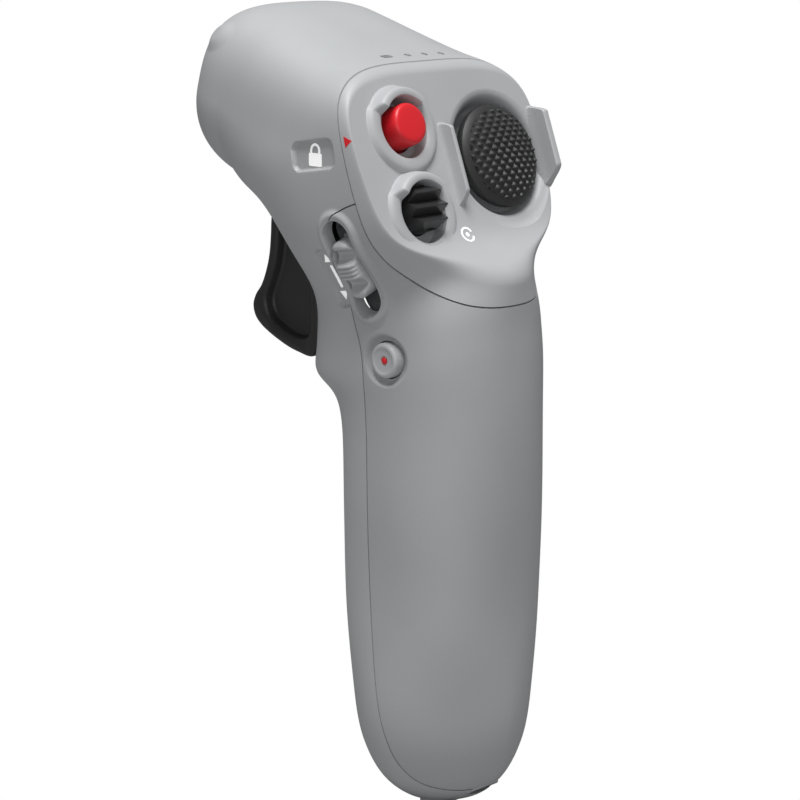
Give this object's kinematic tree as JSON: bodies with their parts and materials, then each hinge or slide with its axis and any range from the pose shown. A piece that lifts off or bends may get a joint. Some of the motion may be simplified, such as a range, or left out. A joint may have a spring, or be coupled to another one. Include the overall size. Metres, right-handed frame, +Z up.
{
  "type": "radio transmitter controller",
  "caption": "One-hand motion controller for a small aircraft: a pistol grip under a rounded head with a thumb joystick, thumb buttons, a finger trigger and side controls.",
  "frame": {"origin": "centre of the charging port on the flat face under the grip", "axes": "+X to the user's right, +Y forward out of the nose, +Z up the grip"},
  "size_m": [0.055, 0.0786, 0.1668],
  "materials": {
    "head_grey": "matte, fine grained",
    "grip_grey": "matte, fine grained",
    "panel_grey": "matte",
    "control_grey": "satin",
    "black_plastic": "satin",
    "trigger_black": "satin",
    "button_black": "satin",
    "stick_rubber": "matte knurled",
    "red_plastic": "satin",
    "switch_grey": "matte",
    "inner_plastic": "matte",
    "port_steel": "brushed",
    "steel": "plain",
    "board_green": "gloss",
    "cell_wrap": "satin wrap",
    "light_pipe": "frosted",
    "flex_amber": "gloss"
  },
  "bodies": {
    "root": {"front_shell": "head_grey", "rear_grip_shell": "grip_grey", "face_panel": "panel_grey", "port_bezel": "black_plastic", "usb_c_port": "port_steel", "lanyard_bar": "steel", "chassis": "black_plastic", "trigger_pin": "steel", "trigger_spring": "steel", "hall_sensor_board": "board_green", "lock_switch": "switch_grey", "mode_switch": "switch_grey", "button_board": "board_green", "joystick_housing": "inner_plastic", "slider_track": "inner_plastic", "slider_spring": "steel", "record_switch": "switch_grey", "power_switch": "switch_grey", "dial_axle": "inner_plastic", "battery_cell": "cell_wrap", "battery_holder": "inner_plastic", "main_board": "board_green", "shield_can": "port_steel", "antenna_boards": "board_green", "light_pipes": "light_pipe", "light_board": "board_green", "buzzer": "inner_plastic", "flex_cable": "flex_amber", "screws": "steel", "lock_marker": "red_plastic", "joystick_well": "panel_grey", "joystick_guards": "panel_grey"},
    "trigger": {"trigger": "trigger_black", "trigger_magnet": "steel"},
    "lock_button": {"lock_button": "red_plastic"},
    "mode_button": {"mode_button": "button_black"},
    "record_button": {"record_button": "control_grey", "record_dot": "red_plastic"},
    "power_button": {"power_button": "control_grey"},
    "function_dial": {"function_dial": "button_black"},
    "tilt_slider": {"tilt_slider": "control_grey"},
    "joystick_gimbal": {"joystick_gimbal": "inner_plastic"},
    "joystick": {"joystick_cap": "stick_rubber", "joystick_stem": "inner_plastic", "joystick_dome": "button_black"}
  },
  "joints": [
    {"name": "trigger_pull", "type": "hinge", "parent": "root", "child": "trigger", "pos_m": [0, 0.037, 0.133], "axis": [-1, 0, 0], "range_deg": [-5, 14], "stiffness_Nm_per_rad": 0.3, "deforming": ["trigger_spring"]},
    {"name": "lock_press", "type": "slide", "parent": "root", "child": "lock_button", "axis": [0, 0.9397, -0.342], "range_m": [0, 0.0012], "stiffness_N_per_m": 400},
    {"name": "mode_press", "type": "slide", "parent": "root", "child": "mode_button", "axis": [0, 0.9397, -0.342], "range_m": [0, 0.001], "stiffness_N_per_m": 400},
    {"name": "record_press", "type": "slide", "parent": "root", "child": "record_button", "axis": [1, 0, 0], "range_m": [0, 0.0008], "stiffness_N_per_m": 400},
    {"name": "power_press", "type": "slide", "parent": "root", "child": "power_button", "axis": [-1, 0, 0], "range_m": [0, 0.0008], "stiffness_N_per_m": 400},
    {"name": "dial_turn", "type": "hinge", "parent": "root", "child": "function_dial", "pos_m": [0.0182, 0.006, 0.118], "axis": [0, 0, 1], "continuous": true},
    {"name": "tilt_slide", "type": "slide", "parent": "root", "child": "tilt_slider", "axis": [-0.3357, 0.1908, 0.9224], "range_m": [-0.003, 0.003], "stiffness_N_per_m": 300, "deforming": ["slider_spring"]},
    {"name": "stick_updown", "type": "hinge", "parent": "root", "child": "joystick_gimbal", "pos_m": [0.0131, 0.00511, 0.13392], "axis": [1, 0, 0], "range_deg": [-5, 5], "stiffness_Nm_per_rad": 0.05},
    {"name": "stick_leftright", "type": "hinge", "parent": "joystick_gimbal", "child": "joystick", "pos_m": [0.0131, 0.00511, 0.13392], "axis": [0, 0.342, 0.9397], "range_deg": [-5, 5], "stiffness_Nm_per_rad": 0.05}
  ]
}
